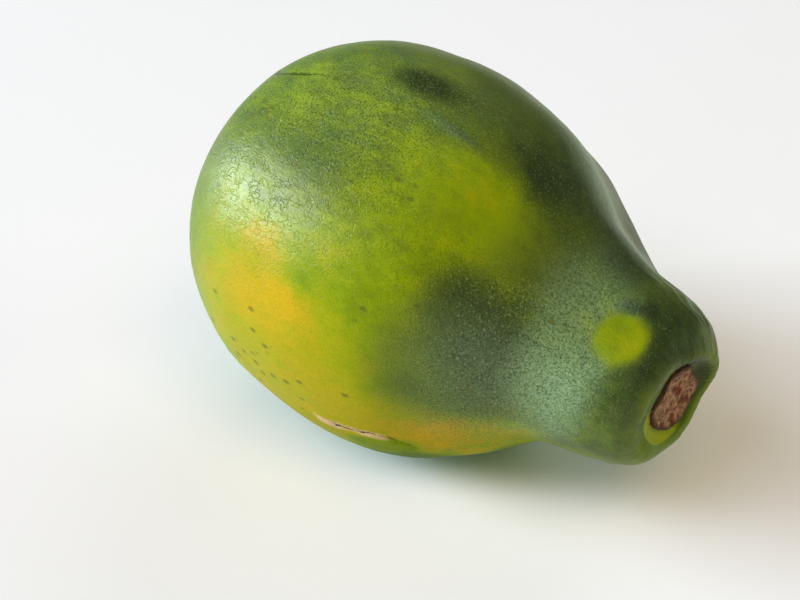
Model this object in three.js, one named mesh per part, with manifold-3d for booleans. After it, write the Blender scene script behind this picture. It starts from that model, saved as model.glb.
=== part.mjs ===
// A papaya lying on its side, turning from green to yellow.
//
// Millimetres, +Z up. The fruit's long axis runs along X with the stem end at +X, and the neck
// tips down a little, as the fruit rests. The origin is on the surface that the fruit lies on,
// under the middle of its box.
//
// Each piece is first built about the fruit's own axis: x is the distance from the blossom end
// along that axis, and an angle goes round it from the back (+Y), over the top (+Z), to the front.
import * as THREE from 'three';
import { mergeVertices } from 'three/addons/utils/BufferGeometryUtils.js';
import Module from 'manifold-3d';

const wasm = await Module();
wasm.setup();

// Driving dimensions

const NECK_TIP = 6;                 // degrees that the neck end tips down at rest
const REST_DEPTH = 0.8;             // how far the flat resting spot is pressed into the belly

// Half outline from the blossom end to the floor of the stem dimple: [x, radius]
const OUTLINE = [
  [0, 0], [0.3, 1.8], [1.3, 3.4], [1.5, 6.5], [2.4, 14], [5, 24.5],   // nub and blossom end
  [18, 45], [36, 55.5], [58, 59], [79, 59], [99, 54.5],               // body
  [114, 45.5], [127, 37], [140, 29], [152, 25],                       // shoulder and neck
  [160, 22], [164, 17.5], [165, 15.2], [164.4, 13.6],                 // rounded rim
  [162.6, 12.2], [161.8, 10.8], [161.8, 0],                           // dimple and its floor
];
const RIM_POINT = 15;               // the point of the outline where the rim begins

// The neck leaves the body's axis a little, towards this angle
const BEND = { offset: 1.8, angle: 47, from: 60, to: 125 };

// Five carpels meet in shallow valleys; one of them runs deep over the back of the shoulder
const VALLEY_ANGLE = 44;
const VALLEY = { share: 0.015, spread: 17, fadeIn: [3, 41], fadeOut: [140, 162] };
const DEEP_VALLEY = { share: 0.07, spread: 14, fadeIn: [58, 99], fadeOut: [135, 157] };

// Hollows (-) and swellings (+) of the skin, each a soft patch about a place on the fruit
const FORMS = [
  { x: 131, angle: 232, along: 6, round: 24, height: -3.3 },   // fold where belly meets neck
  { x: 125, angle: 56, along: 7, round: 18, height: -2.2 },    // notch behind the shoulder
  { x: 147, angle: 48, along: 7, round: 26, height: 1.0 },     // swelling of the neck's back
  { x: 26, angle: 84, along: 16, round: 18, height: -0.9 },    // flat near the blossom end
];

// The lip of the dimple waves with the five carpels; its inner side falls away in front, so that
// the dimple opens there, and it is a little high behind
const LIP_WAVE = { radius: 15, width: 4, height: 0.4 };
const LIP_LIFTS = [
  { angle: 175, round: 48, radius: 15, width: 1.5, height: -2.8 },
  { angle: 40, round: 24, radius: 15, width: 4, height: 1.2 },
  { angle: 322, round: 32, radius: 15, width: 4, height: -1.4 },
];

// Broken end of the fruit stalk, seated in the dimple: a stump, a little squared, torn on top
const STALK = { radius: 9.8, foot: 156.8, top: 162.2, rough: 0.7, hollow: 0.3, chamfer: 1 };
const STALK_WAVES = [               // waves round its outline
  { count: 4, share: 0.045, phase: 0.6 },
  { count: 3, share: 0.03, phase: 2.1 },
  { count: 7, share: 0.02, phase: 4.7 },
];
const SEAT_GAP = 0.3;               // clear space round the stalk in its seat
const SEAT_REACH = 10;              // the seat's cutter stands out past the stump this far
const SURFACE = { size: 400, depth: 40 };

const RINGS_BODY = 50;
const RINGS_RIM = 14;
const SIDES = 60;
const STALK_SIDES = 28;
const STALK_RINGS = 5;

// Small helpers

const radians = THREE.MathUtils.degToRad;
const smooth = THREE.MathUtils.smoothstep;
const bell = (distance, spread) => Math.exp(-0.5 * (distance / spread) ** 2);

function turn(from, to) {
  // Signed angle between two directions round the axis, in degrees
  return ((to - from + 540) % 360) - 180;
}

function fade(x, { fadeIn, fadeOut }) {
  return smooth(x, ...fadeIn) * (1 - smooth(x, ...fadeOut));
}

// The skin's shape

function skinRadius(x, radius, angle) {
  const deep = bell(turn(VALLEY_ANGLE, angle), DEEP_VALLEY.spread);
  let share = DEEP_VALLEY.share * fade(x, DEEP_VALLEY) * deep;
  for (let carpel = 0; carpel < 5; carpel++) {
    const middle = VALLEY_ANGLE + 72 * carpel;
    share += VALLEY.share * fade(x, VALLEY) * bell(turn(middle, angle), VALLEY.spread);
  }
  let forms = 0;
  for (const form of FORMS) {
    forms += form.height * bell(x - form.x, form.along) * bell(turn(form.angle, angle), form.round);
  }
  const onSide = smooth(radius, 10, 20);
  return radius * (1 - share) + forms * onSide;
}

function lipLift(x, radius, angle) {
  const wave = LIP_WAVE.height * Math.cos(radians(5 * (angle - VALLEY_ANGLE + 36)));
  let lift = wave * bell(radius - LIP_WAVE.radius, LIP_WAVE.width);
  for (const part of LIP_LIFTS) {
    const round = bell(turn(part.angle, angle), part.round);
    lift += part.height * round * bell(radius - part.radius, part.width);
  }
  return lift * smooth(x, 155, 164);
}

function skinPoint(x, radius, angle) {
  const r = skinRadius(x, radius, angle);
  const offset = BEND.offset * smooth(x, BEND.from, BEND.to);
  return new THREE.Vector3(
    x + lipLift(x, radius, angle),
    r * Math.cos(radians(angle)) + offset * Math.cos(radians(BEND.angle)),
    r * Math.sin(radians(angle)) + offset * Math.sin(radians(BEND.angle)),
  );
}

function outlineStations() {
  const curve = new THREE.CatmullRomCurve3(
    OUTLINE.map(([x, radius]) => new THREE.Vector3(x, radius, 0)), false, 'centripetal',
  );
  const rimStart = RIM_POINT / (OUTLINE.length - 1);
  const stations = [];
  for (let i = 1; i <= RINGS_BODY; i++) stations.push(curve.getPoint(rimStart * i / RINGS_BODY));
  for (let i = 1; i < RINGS_RIM; i++) {
    stations.push(curve.getPoint(rimStart + (1 - rimStart) * i / RINGS_RIM));
  }
  return stations;
}

// Closed bodies from rings of points

function closedRings(startPoint, rings, endPoint) {
  const sides = rings[0].length;
  const points = [startPoint, ...rings.flat(), endPoint];
  const last = points.length - 1;
  const index = [];
  const at = (ring, side) => 1 + ring * sides + (side % sides);
  for (let side = 0; side < sides; side++) {
    index.push(0, at(0, side + 1), at(0, side));
    index.push(last, at(rings.length - 1, side), at(rings.length - 1, side + 1));
  }
  for (let ring = 0; ring < rings.length - 1; ring++) {
    for (let side = 0; side < sides; side++) {
      const [a, b] = [at(ring, side), at(ring, side + 1)];
      const [c, d] = [at(ring + 1, side), at(ring + 1, side + 1)];
      index.push(a, b, d, a, d, c);
    }
  }
  const geometry = new THREE.BufferGeometry().setFromPoints(points);
  geometry.setIndex(index);
  return geometry;
}

function fruitBody() {
  const rings = outlineStations().map(({ x, y: radius }) => {
    return Array.from({ length: SIDES }, (_, i) => skinPoint(x, radius, 360 * i / SIDES));
  });
  const [tipX] = OUTLINE[0];
  const [floorX] = OUTLINE.at(-1);
  return closedRings(skinPoint(tipX, 0, 0), rings, skinPoint(floorX, 0, 0));
}

// The stalk's broken end: a slightly squared stump with a torn, uneven face

function stalkRadius(angle) {
  let share = 1;
  for (const wave of STALK_WAVES) {
    share += wave.share * Math.cos(wave.count * radians(angle) + wave.phase);
  }
  return STALK.radius * share;
}

function stalkFace(share, angle) {
  // Height of the torn face at this share of the radius: waves of fibre inside a raised bark edge
  const a = radians(angle);
  const torn = Math.sin(3 * a + 5 * share) * Math.cos(2 * a - 4 * share);
  const edge = smooth(share, 0.6, 0.95);
  return STALK.rough * share * (torn + edge) - STALK.hollow * (1 - share);
}

function stalkBody(grow, top, face) {
  const centre = skinPoint(STALK.foot, 0, 0);
  const foot = STALK.foot - grow;
  const ring = (x, share, height) => Array.from({ length: STALK_SIDES }, (_, i) => {
    const angle = 360 * i / STALK_SIDES;
    const r = (stalkRadius(angle) + grow) * share;
    return new THREE.Vector3(
      x + height(share, angle),
      centre.y + r * Math.cos(radians(angle)),
      centre.z + r * Math.sin(radians(angle)),
    );
  });
  const flat = () => 0;
  const narrow = 1 - STALK.chamfer / STALK.radius;
  const rings = [ring(foot, narrow, flat), ring(foot + STALK.chamfer, 1, flat)];
  for (let i = STALK_RINGS; i > 0; i--) rings.push(ring(top, i / STALK_RINGS, face));
  const start = new THREE.Vector3(foot, centre.y, centre.z);
  const end = new THREE.Vector3(top + face(0, 0), centre.y, centre.z);
  return closedRings(start, rings, end);
}

// Cutting with closed solids

function solid(geometry) {
  const bare = geometry.clone();
  bare.deleteAttribute('normal');
  bare.deleteAttribute('uv');
  const merged = mergeVertices(bare, 1e-4);
  return new wasm.Manifold(new wasm.Mesh({
    numProp: 3,
    vertProperties: new Float32Array(merged.attributes.position.array),
    triVerts: new Uint32Array(merged.index.array),
  }));
}

function geometryOf(body) {
  const mesh = body.getMesh();
  const geometry = new THREE.BufferGeometry();
  geometry.setAttribute('position', new THREE.BufferAttribute(mesh.vertProperties, 3));
  geometry.setIndex(new THREE.BufferAttribute(mesh.triVerts, 1));
  geometry.computeVertexNormals();
  return geometry;
}

// Lay the fruit down: tip the neck, set the belly on the surface, centre it over the origin

const lying = fruitBody().rotateY(radians(NECK_TIP));
lying.computeBoundingBox();
const box = lying.boundingBox;
const shift = new THREE.Vector3(
  -(box.min.x + box.max.x) / 2,
  -(box.min.y + box.max.y) / 2,
  -box.min.z - REST_DEPTH,
);

function layDown(geometry) {
  return geometry.rotateY(radians(NECK_TIP)).translate(...shift);
}

const surface = new THREE.BoxGeometry(SURFACE.size, SURFACE.size, SURFACE.depth);
surface.translate(0, 0, -SURFACE.depth / 2);
const seat = layDown(stalkBody(SEAT_GAP, STALK.top + SEAT_REACH, () => 0));
const fruitSolid = solid(lying.translate(...shift)).subtract(solid(seat)).subtract(solid(surface));

// Pieces

const skinMaterial = new THREE.MeshStandardMaterial({ color: 0x7c8a2a, roughness: 0.42, metalness: 0 });
const stalkMaterial = new THREE.MeshStandardMaterial({ color: 0x6b492d, roughness: 0.95, metalness: 0 });

const fruit = new THREE.Mesh(geometryOf(fruitSolid), skinMaterial);
fruit.name = 'fruit';

const stalkGeometry = layDown(stalkBody(0, STALK.top, stalkFace));
stalkGeometry.computeVertexNormals();
const stemStub = new THREE.Mesh(stalkGeometry, stalkMaterial);
stemStub.name = 'stem_stub';

const papaya = new THREE.Group();
papaya.name = 'papaya';
papaya.add(fruit, stemStub);

export default papaya;
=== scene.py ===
"""A papaya lying on its side, green turning to yellow, with the dry end of its stalk in its dimple."""

import math

import bpy
import numpy as np
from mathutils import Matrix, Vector, noise


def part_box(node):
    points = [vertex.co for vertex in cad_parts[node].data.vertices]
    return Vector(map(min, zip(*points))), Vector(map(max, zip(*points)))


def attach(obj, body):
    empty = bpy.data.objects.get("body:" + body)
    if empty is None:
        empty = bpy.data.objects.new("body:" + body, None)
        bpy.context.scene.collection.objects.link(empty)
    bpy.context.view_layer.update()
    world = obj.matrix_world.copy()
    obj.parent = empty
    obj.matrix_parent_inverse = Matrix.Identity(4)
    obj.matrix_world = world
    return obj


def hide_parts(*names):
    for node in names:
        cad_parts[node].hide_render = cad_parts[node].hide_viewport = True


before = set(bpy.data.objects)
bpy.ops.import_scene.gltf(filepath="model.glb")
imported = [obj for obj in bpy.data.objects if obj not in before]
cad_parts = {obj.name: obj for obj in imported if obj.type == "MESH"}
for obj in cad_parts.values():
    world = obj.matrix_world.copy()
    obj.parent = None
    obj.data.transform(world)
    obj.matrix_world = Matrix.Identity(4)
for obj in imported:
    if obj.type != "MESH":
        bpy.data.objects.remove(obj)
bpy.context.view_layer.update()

MM = 0.001

# The fruit's shape, in millimetres, as the solids have it. x runs along the fruit's own axis from the
# blossom end, and an angle in degrees goes round it from the back, over the top, to the front.

NECK_TIP = 6
REST_DEPTH = 0.8
OUTLINE = [
    (0, 0), (0.3, 1.8), (1.3, 3.4), (1.5, 6.5), (2.4, 14), (5, 24.5),
    (18, 45), (36, 55.5), (58, 59), (79, 59), (99, 54.5),
    (114, 45.5), (127, 37), (140, 29), (152, 25),
    (160, 22), (164, 17.5), (165, 15.2), (164.4, 13.6),
    (162.6, 12.2), (161.8, 10.8), (161.8, 0),
]
BEND = dict(offset=1.8, angle=47, start=60, end=125)
VALLEY_ANGLE = 44
VALLEY = dict(share=0.015, spread=17, fade_in=(3, 41), fade_out=(140, 162))
DEEP_VALLEY = dict(share=0.07, spread=14, fade_in=(58, 99), fade_out=(135, 157))
FORMS = [
    dict(x=131, angle=232, along=6, round=24, height=-3.3),
    dict(x=125, angle=56, along=7, round=18, height=-2.2),
    dict(x=147, angle=48, along=7, round=26, height=1.0),
    dict(x=26, angle=84, along=16, round=18, height=-0.9),
]
LIP_WAVE = dict(radius=15, width=4, height=0.4)
LIP_LIFTS = [
    dict(angle=175, round=48, radius=15, width=1.5, height=-2.8),
    dict(angle=40, round=24, radius=15, width=4, height=1.2),
    dict(angle=322, round=32, radius=15, width=4, height=-1.4),
]

SKIN_RINGS = 214
SKIN_SIDES = 440
OUTLINE_SAMPLES = 6000
BOX_SAMPLES = 600
# Rings stand closer together over the shoulder and at the rim: how much more, from x, to x
CLOSER_RINGS = [(0.5, 120, 145), (1.2, 155, 162)]

# The stalk's broken end
STALK = dict(radius=9.8, foot=156.8, top=162.2, rough=0.7, hollow=0.3)
STALK_WAVES = [(4, 0.045, 0.6), (3, 0.03, 2.1), (7, 0.02, 4.7)]
STALK_SIDES = 160
STALK_RINGS = 44
STALK_WALL_RINGS = 16
STALK_FOOT_SHARE = 0.93
# Ridges of its bark: how many, how far they turn along it, and their share of the radius
BARK_RIDGES = [(31, 2, 0.012), (17, -1, 0.01)]
FIBRE_HEIGHT = 0.34
PIT_DEPTH = 0.5


# Small helpers


def smooth(x, low, high):
    """From 0 at low to 1 at high, flat at both ends."""
    t = np.clip((x - low) / (high - low), 0, 1)
    return t * t * (3 - 2 * t)


def bell(distance, spread):
    """1 in the middle, falling away to 0 over a few times the spread."""
    return np.exp(-0.5 * (distance / spread) ** 2)


def turn(start, end):
    """Signed angle between two directions round the axis, in degrees."""
    return (end - start + 540) % 360 - 180


def fade(x, valley):
    """How much of a valley there is at x."""
    return smooth(x, *valley["fade_in"]) * (1 - smooth(x, *valley["fade_out"]))


# The skin's surface


def outline_at(places):
    """Points of the smooth outline (centripetal Catmull-Rom) at places counted in outline points."""
    points = np.array(OUTLINE, float)
    ends = np.vstack([2 * points[0] - points[1], points, 2 * points[-1] - points[-2]])
    k = np.clip(places.astype(int), 0, len(points) - 2)
    w = (places - k)[:, None]
    p0, p1, p2, p3 = (ends[k + i] for i in range(4))
    d0, d1, d2 = (np.linalg.norm(b - a, axis=1, keepdims=True) ** 0.5
                  for a, b in ((p0, p1), (p1, p2), (p2, p3)))
    start = ((p1 - p0) / d0 - (p2 - p0) / (d0 + d1) + (p2 - p1) / d1) * d1
    end = ((p2 - p1) / d1 - (p3 - p1) / (d1 + d2) + (p3 - p2) / d2) * d1
    square = 3 * (p2 - p1) - 2 * start - end
    cube = 2 * (p1 - p2) + start + end
    return p1 + start * w + square * w**2 + cube * w**3


def skin_stations():
    """(x, radius) of each ring, closer together towards the neck and its rim."""
    places = np.linspace(0, len(OUTLINE) - 1, OUTLINE_SAMPLES)
    points = outline_at(places)
    steps = np.linalg.norm(np.diff(points, axis=0), axis=1)
    middle = (points[1:, 0] + points[:-1, 0]) / 2
    weight = 1
    for more, low, high in CLOSER_RINGS:
        weight = weight + more * smooth(middle, low, high)
    run = np.concatenate([[0], np.cumsum(steps * weight)])
    wanted = np.linspace(0, run[-1], SKIN_RINGS + 2)[1:-1]
    return outline_at(np.interp(wanted, run, places))


def skin_radius(x, radius, angle):
    """The outline's radius with the valleys between the carpels, hollows and swellings."""
    deep = bell(turn(VALLEY_ANGLE, angle), DEEP_VALLEY["spread"])
    share = DEEP_VALLEY["share"] * fade(x, DEEP_VALLEY) * deep
    for carpel in range(5):
        middle = VALLEY_ANGLE + 72 * carpel
        share = share + VALLEY["share"] * fade(x, VALLEY) * bell(turn(middle, angle), VALLEY["spread"])
    forms = 0
    for form in FORMS:
        along = bell(x - form["x"], form["along"])
        forms = forms + form["height"] * along * bell(turn(form["angle"], angle), form["round"])
    return radius * (1 - share) + forms * smooth(radius, 10, 20)


def lip_lift(x, radius, angle):
    """How far the lip of the dimple stands out along the fruit."""
    wave = LIP_WAVE["height"] * np.cos(np.radians(5 * (angle - VALLEY_ANGLE + 36)))
    lift = wave * bell(radius - LIP_WAVE["radius"], LIP_WAVE["width"])
    for part in LIP_LIFTS:
        around = bell(turn(part["angle"], angle), part["round"])
        lift = lift + part["height"] * around * bell(radius - part["radius"], part["width"])
    return lift * smooth(x, 155, 164)


def axis_offset(x):
    """How far the neck's bend takes the axis to the side and up."""
    offset = BEND["offset"] * smooth(x, BEND["start"], BEND["end"])
    bend = math.radians(BEND["angle"])
    return offset * math.cos(bend), offset * math.sin(bend)


def skin_points(x, radius, angle):
    """Points of the skin about the fruit's own axis, in millimetres."""
    r = skin_radius(x, radius, angle)
    side, rise = axis_offset(x)
    turned = np.radians(angle)
    return np.stack([
        x + lip_lift(x, radius, angle),
        r * np.cos(turned) + side,
        r * np.sin(turned) + rise,
    ], axis=-1)


def tip(points):
    """The neck tips down about the Y axis."""
    t = math.radians(NECK_TIP)
    x, y, z = points[..., 0], points[..., 1], points[..., 2]
    return np.stack([x * math.cos(t) + z * math.sin(t), y, z * math.cos(t) - x * math.sin(t)], axis=-1)


def lay_down_shift():
    """How far the tipped fruit moves so that its belly meets the surface, in millimetres."""
    stations = outline_at(np.linspace(0, len(OUTLINE) - 1, BOX_SAMPLES))
    angles = np.arange(0, 360, 1.0)
    points = tip(skin_points(stations[:, :1], stations[:, 1:], angles[None])).reshape(-1, 3)
    low, high = points.min(axis=0), points.max(axis=0)
    return np.array([-(low[0] + high[0]) / 2, -(low[1] + high[1]) / 2, -low[2] - REST_DEPTH])


SHIFT = lay_down_shift()


def normals_of(grid):
    """Outward normals of a grid of rings, from the steps along it and round it."""
    along = np.gradient(grid, axis=0)
    around = np.roll(grid, -1, axis=1) - np.roll(grid, 1, axis=1)
    normal = np.cross(around, along)
    return normal / np.maximum(np.linalg.norm(normal, axis=-1, keepdims=True), 1e-9)


def noise_field(points, size, octaves=3, seed=0):
    """Smooth noise from about -1 to 1 at each point, its features about size millimetres across."""
    shift = Vector((17.3 * seed, 5.1 * seed, 29.7 * seed))
    flat = points.reshape(-1, 3) / size
    values = [noise.fractal(Vector(p) + shift, 1.0, 2.0, octaves) for p in flat]
    return np.array(values).reshape(points.shape[:-1])


def noise_sum(points, waves):
    """Layers of smooth noise over the points, added up."""
    return sum(
        height * noise_field(points * (along, 1, 1), size, octaves, seed)
        for height, along, size, octaves, seed in waves
    )


# Colours and marks painted on the skin. Each patch is a soft oval about (x, angle): half its length
# along the fruit in millimetres, half its width round it in degrees, how soft its edge is, and the
# value that it brings the field to. Elsewhere each field has its base value.

SHADE_BASE = 0
BLOOM_AND_SHEEN_BASE = 0
SPECKS_BASE = 0.04
WRINKLES_BASE = 0.2
PORES_BASE = 0.25
GLOSS_BASE = 0.12
SCARRED_BASE = 0

# Ripeness, from deep green at 0 to orange-yellow at 1
RIPE_BASE = 0.42
RIPE = [
    # The hidden side, the belly and the blossom end
    (75, 285, 60, 45, 0.7, 0.66), (55, 300, 26, 24, 0.8, 0.8), (112, 330, 28, 24, 0.7, 0.5),
    (40, 10, 34, 34, 0.8, 0.46), (95, 20, 24, 22, 0.7, 0.42), (12, 235, 16, 60, 0.8, 0.6),
    # Upper side: green, mottled, a little more yellow along its middle
    (62, 128, 34, 13, 0.7, 0.41), (30, 118, 16, 14, 0.7, 0.47), (66, 110, 30, 7, 0.8, 0.47),
    (84, 124, 12, 14, 0.8, 0.5), (42, 111, 16, 9, 0.8, 0.52),
    # Towards the front: yellow-green
    (30, 172, 26, 34, 0.6, 0.56), (44, 168, 18, 20, 0.7, 0.68), (88, 160, 24, 28, 0.6, 0.62),
    (97, 150, 12, 22, 0.7, 0.57),
    # Lime tongue over the shoulder
    (105, 121, 23, 19, 0.4, 0.58), (109, 114, 12, 9, 0.8, 0.61), (96, 132, 10, 8, 0.8, 0.56),
    # Yellow
    (62, 186, 38, 20, 0.55, 0.76), (88, 203, 38, 15, 0.5, 0.79), (72, 214, 30, 14, 0.6, 0.78),
    (118, 216, 15, 20, 0.25, 0.85), (62, 173, 15, 8, 0.7, 0.87), (70, 168, 9, 5, 0.8, 0.93),
    (60, 158, 9, 7, 0.9, 0.83), (131, 222, 10, 20, 0.6, 0.7),
    # Under the scar
    (99, 230, 14, 9, 0.6, 0.42), (99, 217, 10, 7, 0.3, 0.57),
    # Neck
    (148, 120, 16, 70, 0.4, 0.3), (153, 190, 12, 50, 0.6, 0.29), (152, 240, 16, 28, 0.6, 0.46),
    (145, 128, 7, 17, 0.8, 0.42),
    (150.5, 125, 5.8, 16, 0.25, 0.6), (152.5, 117, 4.8, 13, 0.25, 0.61),
    (148.5, 118, 3, 7, 0.8, 0.56), (154, 126, 3, 7, 0.8, 0.64),
]

# How far the dark green covers the skin
SHADE = [
    # The dark blotch before the neck
    (121, 166, 15, 31, 0.4, 0.72), (110, 175, 10, 17, 0.8, 0.4), (123, 158, 9, 15, 0.8, 0.9),
    (116, 146, 8, 9, 0.8, 0.85),
    # The dark band over the back, and the dark end of the neck
    (117, 82, 30, 22, 0.3, 1.0), (126, 112, 9, 26, 0.7, 0.62), (158, 86, 9, 30, 0.6, 0.75),
    (88, 82, 16, 18, 0.8, 0.5), (160, 105, 4.5, 60, 0.6, 0.9), (120, 20, 30, 30, 0.7, 0.6),
    # Small dark places
    (18, 167, 16, 44, 0.8, 0.4),
    (70, 93.5, 12, 5.5, 0.6, 0.9), (36, 130, 17, 9, 0.7, 0.2), (62, 132, 22, 8, 0.8, 0.18),
    (50, 104, 7, 4, 0.8, 0.35), (147.5, 104, 3, 5, 0.6, 1.0), (151.5, 97, 2.2, 6, 0.6, 1.0),
    (90, 103, 8, 1.3, 0.6, 0.7), (28, 128, 3, 2.5, 0.8, 0.5), (33, 125, 2, 1.5, 0.8, 0.5),
    # The lime spot and the front of the neck stay clear
    (151, 124, 6.4, 16, 0.3, 0.0),
]

# The pale waxy bloom, and painted sheen: the faint patch over the top, the band along the upper edge and
# the patch at the left edge are painted sheen
BLOOM_AND_SHEEN = [
    # Painted sheen over the top
    (45, 98, 42, 30, 0.8, 0.16),
    # Waxy bloom on the dark blotch and the neck
    (121, 176, 15, 26, 0.7, 0.28), (141, 161, 9, 40, 0.6, 1.0), (139, 120, 9, 26, 0.8, 0.6),
    # Painted sheen along the upper edge first on this line, and painted sheen at the left edge last
    (112, 62, 34, 11, 0.8, 0.5), (86, 103.5, 8, 1.6, 0.8, 0.3), (30, 160, 18, 40, 0.8, 0.1),
    (145, 128, 7, 17, 0.8, 0.5), (151, 124, 6.4, 16, 0.3, 0.0), (70, 93.5, 12, 5.5, 0.6, 0.0),
]

# Chance of small dark specks
SPECKS = [
    (30, 128, 12, 12, 0.6, 0.8), (70, 108, 30, 3, 0.6, 0.6), (58, 196, 24, 12, 0.6, 0.8),
    (87, 126, 10, 5, 0.6, 0.4), (110, 225, 14, 10, 0.7, 0.4), (45, 186, 14, 12, 0.7, 0.5),
]

# Depth of the fine wrinkles
WRINKLES = [
    (50, 146, 34, 24, 0.7, 1.0), (60, 120, 34, 22, 0.8, 0.8), (140, 140, 16, 60, 0.7, 0.9),
]

# Strength of the fine grain
PORES = [
    (132, 150, 22, 70, 0.7, 1.0), (55, 112, 45, 32, 0.8, 0.9), (120, 82, 36, 22, 0.5, 0.6),
    (71, 93, 14, 8, 0.7, 1.0), (110, 119, 18, 14, 0.7, 0.15),
    (151, 124, 6.4, 16, 0.3, 0.1),
]

# Strength of the skin's gloss
GLOSS = [
    (54, 145, 34, 12, 0.7, 0.46), (140, 150, 22, 60, 0.7, 0.42), (95, 56, 90, 24, 0.7, 0.7),
    (66, 190, 50, 20, 0.7, 0.08), (90, 224, 60, 26, 0.6, 0.01),
]

# Fine lines on the skin, each from place to place (x, angle)
SCAR_BAND = [(80, 207.5), (84, 208.5), (92, 208), (99, 208.5), (103, 211)]
SCAR_CRACK = [(86, 207.5), (92, 209), (98, 208), (103, 210.5), (106, 215), (108, 221)]
CREASE = [(19, 105), (26, 108), (34, 107.5), (41, 106)]
NECK_CRACK = [(126, 152), (131, 148), (136, 149), (140, 143)]
SCARRED = (94, 212, 26, 14, 0.4, 1.0)
# Each line's relief on the skin: its width and its height, below zero for a groove
LINE_RELIEFS = [(SCAR_BAND, 2.0, 0.45), (SCAR_CRACK, 0.8, -0.7), (CREASE, 1.0, -0.45)]
# Radius of the body's side, where these lines lie
SIDE_RADIUS = 54

# Layers of noise: height, scale along the fruit, size in millimetres, octaves, seed
EDGE_WAVES = [(0.14, 0.6, 14, 2, 1), (0.09, 1, 5, 3, 5)]
SKIN_WAVES = [(0.24, 1, 26, 2, 2), (0.07, 1, 7, 3, 3)]

# Fine folds round the neck: their count, how far they sway, and their share of the height
FOLDS = [(44, 7, 1), (19, 9, 0.7)]
FOLD_HEIGHT = 0.15
FOLD_SWAY = dict(size=16, octaves=2, seed=4)
FOLDS_AT_BACK = dict(angle=62, round=30, fade_in=(132, 152))
FOLDS_AT_RIM = dict(share=0.2, fade_in=(155, 163))
NECK_WAVES = [(0.35, 1.6, 9, 2, 6)]
NECK_WAVES_FADE_IN = (136, 150)

# The bare ring round the stalk, on the wall of its dimple
DIMPLE_EDGE = 14.5
# How dark the dimple's inner wall is painted outside the bare ring: painted shade in the recess
DIMPLE_PAINTED_SHADE = 0.75
# The floor of the dimple sinks under the stalk's broken end, between these two radii
UNDER_STALK = dict(radii=(7.4, 8.8), depth=2)
BARE_RING = dict(angle=228, round=52, edge=(0.3, 0.6), ripe=0.68)

# Angle of the top, from which the skin's stored angles are counted
TOP = 90


def painted(base, patches, x, angle, warp):
    """A field over the skin: the base, and each patch laid over it in turn, with wavy edges."""
    value = np.full(x.shape, float(base))
    for place, middle, along, across, edge, target in patches:
        reach = np.hypot((x - place) / along, turn(middle, angle) / across)
        cover = 1 - smooth(reach + warp, 1 - edge, 1 + edge)
        value += (target - value) * cover
    return value


# Meshes


def closed_rings(name, start, rings, end, fields):
    """A closed mesh from rings of points and a point at each end, with each field's value per point."""
    count, sides = rings.shape[:2]
    points = np.vstack([start[None], rings.reshape(-1, 3), end[None]]) * MM
    ring = np.arange(count - 1)[:, None] * sides + 1
    side = np.arange(sides)[None]
    after = (side + 1) % sides
    quads = np.stack([ring + side, ring + after, ring + sides + after, ring + sides + side], axis=-1)
    first = [(0, 1 + (s + 1) % sides, 1 + s) for s in range(sides)]
    base = 1 + (count - 1) * sides
    last = [(len(points) - 1, base + s, base + (s + 1) % sides) for s in range(sides)]
    faces = first + quads.reshape(-1, 4).tolist() + last
    mesh = bpy.data.meshes.new(name)
    mesh.from_pydata(points.tolist(), [], faces)
    for field, values in fields.items():
        ends = [values[0].mean(), values[-1].mean()]
        attribute = mesh.attributes.new(field, "FLOAT", "POINT")
        all_values = np.concatenate([ends[:1], values.ravel(), ends[1:]])
        attribute.data.foreach_set("value", all_values.astype(np.float32))
    mesh.shade_smooth()
    mesh.validate()
    piece = bpy.data.objects.new(name, mesh)
    bpy.context.scene.collection.objects.link(piece)
    return piece


def into_box(points, box):
    """Move and scale points, by a hair, so that their box is the given one."""
    low = np.array(box[0]) / MM
    high = np.array(box[1]) / MM
    own_low = points.reshape(-1, 3).min(axis=0)
    own_high = points.reshape(-1, 3).max(axis=0)
    return low + (points - own_low) * (high - low) / (own_high - own_low)


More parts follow.
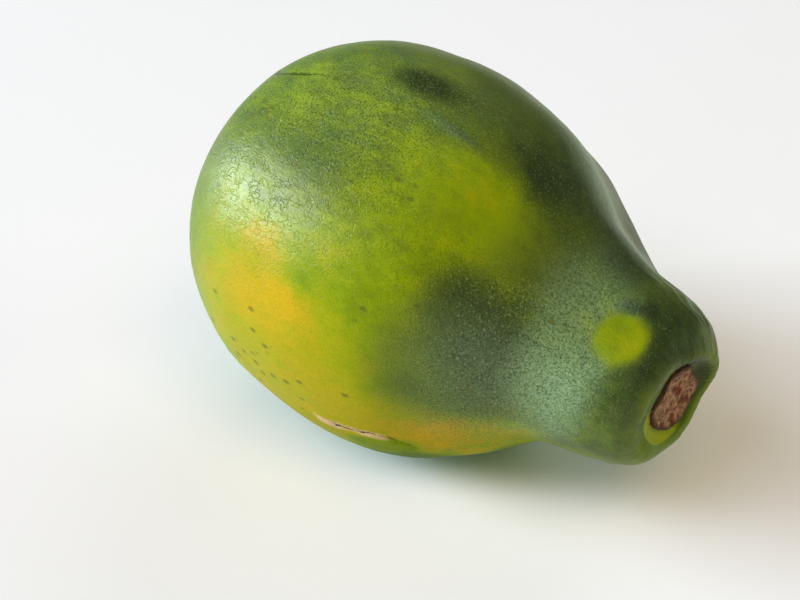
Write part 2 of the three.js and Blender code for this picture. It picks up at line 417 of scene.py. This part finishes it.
def build_skin():
    """The skin with its relief, and the fields that its material reads."""
    stations = skin_stations()
    angle = np.arange(SKIN_SIDES) * 360 / SKIN_SIDES
    x = np.repeat(stations[:, :1], SKIN_SIDES, axis=1)
    radius = np.repeat(stations[:, 1:], SKIN_SIDES, axis=1)
    angle = np.repeat(angle[None], len(stations), axis=0)
    outside = smooth(radius, 3, 8) * smooth(x, 0.5, 3)
    crest = int(np.argmax(stations[:, 0]))
    inside = np.arange(len(stations))[:, None] > crest
    inner = inside * (1 - smooth(radius, DIMPLE_EDGE - 2, DIMPLE_EDGE))
    grid = skin_points(x, radius, angle)
    grid[..., 0] -= UNDER_STALK["depth"] * inside * (1 - smooth(radius, *UNDER_STALK["radii"]))

    edge_warp = noise_sum(grid, EDGE_WAVES)
    ripe = painted(RIPE_BASE, RIPE, x, angle, edge_warp)
    shade = painted(SHADE_BASE, SHADE, x, angle, edge_warp)
    bare = inner * bell(turn(BARE_RING["angle"], angle), BARE_RING["round"])
    bare = smooth(bare, *BARE_RING["edge"])
    ripe += (BARE_RING["ripe"] - ripe) * bare
    # Painted shade: the dimple's inner wall is darkened outside the bare ring
    shade += (DIMPLE_PAINTED_SHADE * (1 - bare) - shade) * inner
    fields = {
        "place_x": x,
        "place_angle": turn(TOP, angle),
        "ripe": ripe,
        "shade": shade,
        "bloom_and_sheen": painted(BLOOM_AND_SHEEN_BASE, BLOOM_AND_SHEEN, x, angle, edge_warp) * (1 - inner),
        "specks": painted(SPECKS_BASE, SPECKS, x, angle, edge_warp),
        "wrinkles": painted(WRINKLES_BASE, WRINKLES, x, angle, edge_warp),
        "pores": painted(PORES_BASE, PORES, x, angle, edge_warp),
        "gloss": painted(GLOSS_BASE, GLOSS, x, angle, 0),
        "scarred": painted(SCARRED_BASE, [SCARRED], x, angle, 0),
    }
    height = noise_sum(grid, SKIN_WAVES)
    height += neck_folds(x, angle, grid)
    for line, width, rise in LINE_RELIEFS:
        height += line_relief(x, angle, line, width, rise)
    grid = grid + normals_of(grid) * (height * outside)[..., None]
    grid = tip(grid) + SHIFT
    grid[..., 2] = np.maximum(grid[..., 2], 0)
    grid = into_box(grid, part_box("fruit"))
    return closed_rings("papaya_skin", grid[0].mean(axis=0), grid, grid[-1].mean(axis=0), fields)


def line_relief(x, angle, line, width, height):
    """A ridge or groove along a line of places on the skin, fading out at both its ends."""
    places, angles = np.array(line).T
    middle = np.interp(x, places, angles)
    off = np.radians(angle - middle) * SIDE_RADIUS
    within = smooth(x, places[0] - 1, places[0] + 2) * (1 - smooth(x, places[-1] - 2, places[-1] + 1))
    return height * bell(off, width) * within


def neck_folds(x, angle, grid):
    """Fine folds that run along the neck and turn into the stem dimple."""
    sway = noise_field(grid, **FOLD_SWAY)
    fine = sum(share * np.sin(np.radians(angle * count) + sway * swing) for count, swing, share in FOLDS)
    at_back = bell(turn(FOLDS_AT_BACK["angle"], angle), FOLDS_AT_BACK["round"])
    at_back = at_back * smooth(x, *FOLDS_AT_BACK["fade_in"])
    at_rim = FOLDS_AT_RIM["share"] * smooth(x, *FOLDS_AT_RIM["fade_in"])
    waves = noise_sum(grid, NECK_WAVES) * smooth(x, *NECK_WAVES_FADE_IN)
    return FOLD_HEIGHT * fine * np.maximum(at_back, at_rim) + waves


def stalk_ring(x, reach, turned):
    """Points round the stalk at x along it, reach away from its middle."""
    return np.stack([x + 0 * turned, reach * np.cos(turned), reach * np.sin(turned)], -1)


def build_stalk():
    """The stalk's broken end: a ridged wall and a torn, pitted face."""
    middle = axis_offset(np.array(STALK["foot"]))
    angle = np.arange(STALK_SIDES) * 360 / STALK_SIDES
    turned = np.radians(angle)
    outline = STALK["radius"] * (1 + sum(s * np.cos(n * turned + p) for n, s, p in STALK_WAVES))
    wall = np.linspace(STALK["foot"], STALK["top"], STALK_WALL_RINGS)
    shares = np.linspace(1, 0, STALK_RINGS + 1)[:-1]
    rings = []
    for x in wall:
        bark = 1 + sum(share * np.sin(turned * count + x * along) for count, along, share in BARK_RIDGES)
        widening = smooth(x, STALK["foot"], STALK["foot"] + 1)
        share = bark * (STALK_FOOT_SHARE + (1 - STALK_FOOT_SHARE) * widening)
        rings.append(stalk_ring(x, outline * share, turned))
    for share in shares:
        torn = np.sin(3 * turned + 5 * share) * np.cos(2 * turned - 4 * share)
        lift = STALK["rough"] * share * (torn + smooth(share, 0.6, 0.95)) - STALK["hollow"] * (1 - share)
        rings.append(stalk_ring(STALK["top"] + lift, outline * share, turned))
    grid = np.array(rings)
    on_wall = np.ones(len(wall))
    all_round = np.ones(STALK_SIDES)
    face = np.concatenate([0 * on_wall, np.ones(len(shares))])[:, None] * all_round
    rim = np.concatenate([on_wall, smooth(shares, 0.82, 0.97)])[:, None] * all_round
    fibre = noise_field(grid * (0.5, 1, 1), 1.1, 3, seed=7)
    pits = noise_field(grid, 3.2, 2, seed=8)
    grid[..., 0] += face * (FIBRE_HEIGHT * fibre - PIT_DEPTH * smooth(pits, 0.1, 0.5))
    grid = grid + np.array([0, middle[0], middle[1]])
    grid = into_box(tip(grid) + SHIFT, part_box("stem_stub"))
    fields = {"face": face, "rim": rim, "pits": smooth(pits, 0.0, 0.45) * face}
    return closed_rings("stalk_end", grid[0].mean(axis=0), grid, grid[-1].mean(axis=0), fields)


# Materials


def srgb(red, green, blue):
    """A colour seen as 0 to 255 on a screen, as Blender's linear one."""
    return tuple(((c / 255 + 0.055) / 1.055) ** 2.4 for c in (red, green, blue)) + (1.0,)


class Nodes:
    """Short calls for building a material's node tree."""

    def __init__(self, name):
        self.material = bpy.data.materials.new(name)
        self.material.use_nodes = True
        self.tree = self.material.node_tree
        self.shader = self.tree.nodes["Principled BSDF"]

    def put(self, socket, value):
        if isinstance(value, bpy.types.NodeSocket):
            self.tree.links.new(value, socket)
        else:
            socket.default_value = value

    def add(self, kind, output, inputs, **settings):
        node = self.tree.nodes.new(kind)
        for name, value in settings.items():
            setattr(node, name, value)
        for key, value in inputs.items():
            self.put(node.inputs[key], value)
        return node.outputs[output]

    def field(self, name):
        return self.add("ShaderNodeAttribute", "Fac", {}, attribute_name=name)

    def math(self, operation, a, b=0.0, c=0.0, clamp=False):
        return self.add("ShaderNodeMath", 0, {0: a, 1: b, 2: c}, operation=operation, use_clamp=clamp)

    def noise(self, place, size, detail=3.0, rough=0.55, distortion=0.0):
        inputs = {"Vector": place, "Scale": 1 / (size * MM), "Detail": detail}
        inputs |= {"Roughness": rough, "Distortion": distortion}
        return self.add("ShaderNodeTexNoise", "Fac", inputs)

    def mix(self, factor, a, b):
        return self.add("ShaderNodeMix", 2, {0: factor, 6: a, 7: b}, data_type="RGBA")

    def scale(self, value, low, high, to_low=0.0, to_high=1.0, smooth_step=False):
        inputs = {0: value, 1: low, 2: high, 3: to_low, 4: to_high}
        kind = "SMOOTHSTEP" if smooth_step else "LINEAR"
        return self.add("ShaderNodeMapRange", 0, inputs, interpolation_type=kind)

    def ramp(self, value, stops):
        node = self.tree.nodes.new("ShaderNodeValToRGB")
        elements = node.color_ramp.elements
        while len(elements) < len(stops):
            elements.new(0.5)
        for element, (place, colour) in zip(elements, stops):
            element.position = place
            element.color = colour
        self.put(node.inputs[0], value)
        return node.outputs[0]

    def bump(self, height, distance, strength, normal=None):
        inputs = {"Height": height, "Distance": distance * MM, "Strength": strength}
        if normal is not None:
            inputs["Normal"] = normal
        return self.add("ShaderNodeBump", 0, inputs)


# The skin's colour at each ripeness, and the colours of its marks
RIPE_COLOURS = [
    (0.00, srgb(30, 48, 14)),
    (0.18, srgb(52, 72, 26)),
    (0.34, srgb(82, 104, 34)),
    (0.48, srgb(104, 124, 18)),
    (0.60, srgb(124, 146, 0)),
    (0.72, srgb(150, 154, 4)),
    (0.84, srgb(174, 154, 14)),
    (0.93, srgb(188, 156, 12)),
    (1.00, srgb(192, 144, 6)),
]
SHADE_COLOUR = srgb(42, 56, 29)
# Pale colour of the waxy bloom, also used for the painted sheen
BLOOM_AND_SHEEN_COLOUR = srgb(136, 172, 128)
DARK_PORE = srgb(28, 46, 18)
# Pale flecks of the grain, partly painted glints
GRAIN_AND_GLINT_FLECK = srgb(190, 205, 150)
SPECK_COLOUR = srgb(84, 92, 30)
SCAR_COLOUR = srgb(214, 180, 140)
CRACK_COLOUR = srgb(60, 40, 18)
# Painted shade along the crease's groove
CREASE_PAINTED_SHADE_COLOUR = srgb(44, 62, 24)
NECK_CRACK_COLOUR = srgb(34, 54, 26)
GLOSS_TINT = (1.0, 0.88, 0.66, 1)

FIBRE_DARK = srgb(66, 42, 26)
FIBRE_LIGHT = srgb(184, 138, 98)
PIT_COLOUR = srgb(100, 36, 20)
BARK_COLOUR = srgb(62, 40, 24)

FLOOR_COLOUR = (0.83, 0.84, 0.86, 1)


def skin_material():
    n = Nodes("papaya_skin")
    place = n.add("ShaderNodeTexCoord", "Object", {})
    tilt = (0, -math.radians(NECK_TIP), 0)
    along = n.add("ShaderNodeMapping", 0, {"Vector": place, "Rotation": tilt, "Scale": (0.6, 1, 1)})
    broad = n.noise(along, 9, 2)
    fine = n.noise(along, 3.4, 5, 0.6)
    grain = n.noise(place, 0.8, 2)
    pore = n.noise(place, 0.55, 1)

    uneven = n.math("ADD", 0.3, n.field("pores"))
    broad_change = n.math("MULTIPLY", n.scale(broad, 0.3, 0.7, -0.06, 0.06), uneven)
    fine_change = n.math("MULTIPLY", n.scale(fine, 0.3, 0.7, -0.1, 0.1), uneven)
    ripe = n.math("ADD", n.math("ADD", n.field("ripe"), broad_change), fine_change)
    colour = n.ramp(ripe, RIPE_COLOURS)

    shade = n.field("shade")
    broken = n.math("MULTIPLY", shade, n.math("SUBTRACT", 1.25, shade))
    broken = n.math("MULTIPLY", broken, n.scale(fine, 0.3, 0.7, -0.5, 0.5))
    shade = n.math("ADD", shade, broken, clamp=True)
    colour = n.mix(shade, colour, SHADE_COLOUR)

    # Pale waxy bloom, and painted sheen where its field stands for sheen over the top and along the edges
    bloom_and_sheen = n.math("MULTIPLY", n.field("bloom_and_sheen"), n.scale(grain, 0.3, 0.7, 0.35, 0.95))
    colour = n.mix(bloom_and_sheen, colour, BLOOM_AND_SHEEN_COLOUR)

    dark_pores = n.math("MULTIPLY", n.scale(pore, 0.52, 0.66, 0, 1, True), n.field("pores"))
    colour = n.mix(n.math("MULTIPLY", dark_pores, 0.6), colour, DARK_PORE)
    # Pale flecks in the fine grain, partly painted glints
    grain_and_glint_flecks = n.math("MULTIPLY", n.scale(pore, 0.40, 0.28, 0, 1, True), n.field("pores"))
    colour = n.mix(n.math("MULTIPLY", grain_and_glint_flecks, 0.22), colour, GRAIN_AND_GLINT_FLECK)
    colour = n.mix(specks(n, along), colour, SPECK_COLOUR)

    scar = skin_line(n, SCAR_BAND, 2.3)
    crack = skin_line(n, SCAR_CRACK, 0.5)
    crease_shade = skin_line(n, CREASE, 0.8)
    neck_crack = skin_line(n, NECK_CRACK, 0.4)
    scar_cover = n.math("MULTIPLY", scar, n.scale(grain, 0.25, 0.6, 0.3, 1.0))
    scar_cover = n.math("MULTIPLY", scar_cover, n.field("scarred"))
    colour = n.mix(scar_cover, colour, SCAR_COLOUR)
    crack = n.math("MULTIPLY", crack, n.field("scarred"))
    colour = n.mix(crack, colour, CRACK_COLOUR)
    # The crease's groove is darkened: painted shade
    colour = n.mix(n.math("MULTIPLY", crease_shade, 0.8), colour, CREASE_PAINTED_SHADE_COLOUR)
    colour = n.mix(n.math("MULTIPLY", neck_crack, 0.6), colour, NECK_CRACK_COLOUR)

    height = crackle(n, along)
    normal = n.bump(height, 0.14, n.math("MULTIPLY", n.field("wrinkles"), 0.7))
    strokes = n.add("ShaderNodeMapping", 0, {"Vector": along, "Scale": (0.45, 1, 1)})
    stroke = n.noise(strokes, 0.9, 3, 0.6, 0.6)
    normal = n.bump(stroke, 0.3, n.math("MULTIPLY", n.field("wrinkles"), 0.4), normal)
    normal = n.bump(grain, 0.12, 0.4, normal)
    normal = n.bump(pore, 0.1, n.math("MULTIPLY", n.field("pores"), 0.4), normal)
    normal = n.bump(fine, 0.35, 0.3, normal)

    shader = n.shader
    n.put(shader.inputs["Base Color"], colour)
    n.put(shader.inputs["Roughness"], n.scale(fine, 0.3, 0.7, 0.34, 0.46))
    n.put(shader.inputs["Normal"], normal)
    n.put(shader.inputs["Specular IOR Level"], n.field("gloss"))
    shader.inputs["Specular Tint"].default_value = GLOSS_TINT
    return n.material


def specks(n, place):
    """Small dark specks, thicker where their field is strong."""
    cells = n.tree.nodes.new("ShaderNodeTexVoronoi")
    n.put(cells.inputs["Vector"], place)
    n.put(cells.inputs["Scale"], 1 / (3.4 * MM))
    chance = n.add("ShaderNodeSeparateColor", 0, {0: cells.outputs["Color"]})
    dot = n.scale(cells.outputs["Distance"], 0.12, 0.34, 0.7, 0, True)
    return n.math("MULTIPLY", dot, n.math("LESS_THAN", chance, n.field("specks")))


def crackle(n, place):
    """A broken net of fine wrinkles, its uneven cells less than two millimetres across."""
    wander = {"Vector": place, "Scale": 1 / (2.5 * MM), "Detail": 4.0}
    sway = n.add("ShaderNodeTexNoise", "Color", wander)
    swayed = n.add("ShaderNodeMix", 1, {0: 4 * MM, 4: place, 5: sway}, data_type="VECTOR")
    net = {"Vector": swayed, "Scale": 1 / (1.7 * MM)}
    edge = n.add("ShaderNodeTexVoronoi", "Distance", net, feature="DISTANCE_TO_EDGE")
    gone = n.scale(n.noise(place, 3.0, 2), 0.45, 0.6, 0, 1, True)
    return n.math("MAXIMUM", n.scale(edge, 0.0, 0.1, 0, 1, True), gone)


def skin_line(n, line, width):
    """Cover of a thin uneven line that runs from place to place on the skin."""
    places, angles = zip(*line)
    first, last = places[0], places[-1]
    lowest, highest = min(angles) - 1, max(angles) + 1
    curve = n.tree.nodes.new("ShaderNodeFloatCurve")
    points = curve.mapping.curves[0].points
    while len(points) < len(line):
        points.new(0.5, 0.5)
    spots = sorted((p - first) / (last - first) for p in places)
    for point, spot, angle in zip(points, spots, angles):
        point.location = (spot, (angle - lowest) / (highest - lowest))
    curve.mapping.update()
    place_x = n.field("place_x")
    sway = n.noise(n.add("ShaderNodeTexCoord", "Object", {}), 1.6, 3)
    n.put(curve.inputs["Value"], n.scale(place_x, first, last))
    middle = n.scale(curve.outputs[0], 0, 1, lowest - TOP, highest - TOP)
    off = n.math("SUBTRACT", n.field("place_angle"), middle)
    off = n.math("ADD", off, n.scale(sway, 0.2, 0.8, -1.0, 1.0))
    off = n.math("ABSOLUTE", n.math("MULTIPLY", off, math.radians(SIDE_RADIUS)))
    across = n.scale(off, width * 0.4, width, 1, 0, True)
    start = n.scale(place_x, first - 0.5, first + 2, 0, 1, True)
    end = n.scale(place_x, last - 3, last + 0.5, 1, 0, True)
    return n.math("MULTIPLY", across, n.math("MULTIPLY", start, end))


def stalk_material():
    n = Nodes("dry_stalk")
    place = n.add("ShaderNodeTexCoord", "Object", {})
    fine = n.noise(place, 1.2, 5, 0.65)
    grain = n.noise(place, 0.35, 3)
    colour = n.mix(n.scale(fine, 0.35, 0.65), FIBRE_DARK, FIBRE_LIGHT)
    colour = n.mix(n.math("MULTIPLY", n.field("pits"), 0.9), colour, PIT_COLOUR)
    colour = n.mix(n.math("MULTIPLY", n.field("rim"), 0.85), colour, BARK_COLOUR)
    normal = n.bump(grain, 0.2, 0.7, n.bump(fine, 0.5, 0.8))
    n.put(n.shader.inputs["Base Color"], colour)
    n.put(n.shader.inputs["Normal"], normal)
    n.shader.inputs["Roughness"].default_value = 0.85
    return n.material


def floor_material():
    n = Nodes("pale_floor")
    n.shader.inputs["Base Color"].default_value = FLOOR_COLOUR
    n.shader.inputs["Roughness"].default_value = 0.75
    n.shader.inputs["Specular IOR Level"].default_value = 0.2
    return n.material


# Pieces

skin = build_skin()
skin.data.materials.append(skin_material())
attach(skin, "root")
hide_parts("fruit")

stalk = build_stalk()
stalk.data.materials.append(stalk_material())
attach(stalk, "root")
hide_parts("stem_stub")

# Floor, light and camera

FLOOR_HALF = 3.0
FLOOR_SHARE = 0.8                   # share of the light that the floor sends back
LIGHT_DISTANCE = 6.0
AIM = Vector((-0.0215, 0.0, 0.038))
VIEW_AZIMUTH = 43
VIEW_ELEVATION = 32.5
VIEW_DISTANCE = 0.48
LENS = 70
SENSOR = 36
HORIZON_LIGHT = (0.09, 0.08, 0.07, 1)
OVERHEAD_LIGHT = (0.04, 0.04, 0.04, 1)


def towards(azimuth, elevation):
    """Unit vector from the fruit, azimuth 0 to the front and 90 to the stem end."""
    a, e = math.radians(azimuth), math.radians(elevation)
    return Vector((math.sin(a) * math.cos(e), -math.cos(a) * math.cos(e), math.sin(e)))


def add_floor():
    h = FLOOR_HALF
    mesh = bpy.data.meshes.new("floor")
    mesh.from_pydata([(-h, -h, 0), (h, -h, 0), (h, h, 0), (-h, h, 0)], [], [(0, 1, 2, 3)])
    mesh.materials.append(floor_material())
    floor = bpy.data.objects.new("floor", mesh)
    bpy.context.scene.collection.objects.link(floor)


def add_light(name, azimuth, elevation, width, height, on_floor, glossy=True):
    """A soft light panel, its size in degrees as seen from the fruit, its light as it meets the floor."""
    area = bpy.data.lights.new(name, "AREA")
    area.shape = "RECTANGLE"
    area.size = 2 * LIGHT_DISTANCE * math.tan(math.radians(width / 2))
    area.size_y = 2 * LIGHT_DISTANCE * math.tan(math.radians(height / 2))
    strongest = max(on_floor)
    lean = math.sin(math.radians(elevation))
    area.energy = strongest * (math.pi * LIGHT_DISTANCE) ** 2 / (FLOOR_SHARE * lean)
    area.color = [part / strongest for part in on_floor]
    lamp = bpy.data.objects.new(name, area)
    lamp.location = AIM + towards(azimuth, elevation) * LIGHT_DISTANCE
    lamp.rotation_euler = towards(azimuth, elevation).to_track_quat("Z", "Y").to_euler()
    lamp.visible_glossy = glossy
    bpy.context.scene.collection.objects.link(lamp)


def add_camera():
    camera = bpy.data.objects.new("camera", bpy.data.cameras.new("camera"))
    camera.data.lens = LENS
    camera.data.sensor_width = SENSOR
    camera.location = AIM + towards(VIEW_AZIMUTH, VIEW_ELEVATION) * VIEW_DISTANCE
    camera.rotation_euler = towards(VIEW_AZIMUTH, VIEW_ELEVATION).to_track_quat("Z", "Y").to_euler()
    bpy.context.scene.collection.objects.link(camera)
    bpy.context.scene.camera = camera


def add_world():
    """Light from the room all round, brighter towards the horizon than overhead."""
    world = bpy.data.worlds.new("studio")
    world.use_nodes = True
    tree = world.node_tree
    place = tree.nodes.new("ShaderNodeTexCoord")
    parts = tree.nodes.new("ShaderNodeSeparateXYZ")
    ramp = tree.nodes.new("ShaderNodeValToRGB")
    tree.links.new(place.outputs["Generated"], parts.inputs[0])
    tree.links.new(parts.outputs["Z"], ramp.inputs[0])
    tree.links.new(ramp.outputs[0], tree.nodes["Background"].inputs["Color"])
    low, high = ramp.color_ramp.elements
    low.position, low.color = 0.1, HORIZON_LIGHT
    high.position, high.color = 0.9, OVERHEAD_LIGHT
    bpy.context.scene.world = world


add_floor()
# Azimuth, elevation, width and height in degrees, then its light on the floor
add_light("window_left", -64, 10, 30, 12, (0.087, 0.104, 0.12))
add_light("window", -48, 23, 26, 18, (0.208, 0.246, 0.28))
add_light("room_left", -5, 48, 24, 20, (0.17, 0.17, 0.19), glossy=False)
add_light("room_right", 55, 55, 40, 24, (0.30, 0.21, 0.13), glossy=False)
add_light("room_back", -170, 36, 44, 24, (0.12, 0.12, 0.12), glossy=False)
add_light("room_side", 130, 18, 30, 14, (0.033, 0.05, 0.03))
add_world()
add_camera()
bpy.context.scene.view_settings.view_transform = "Standard"
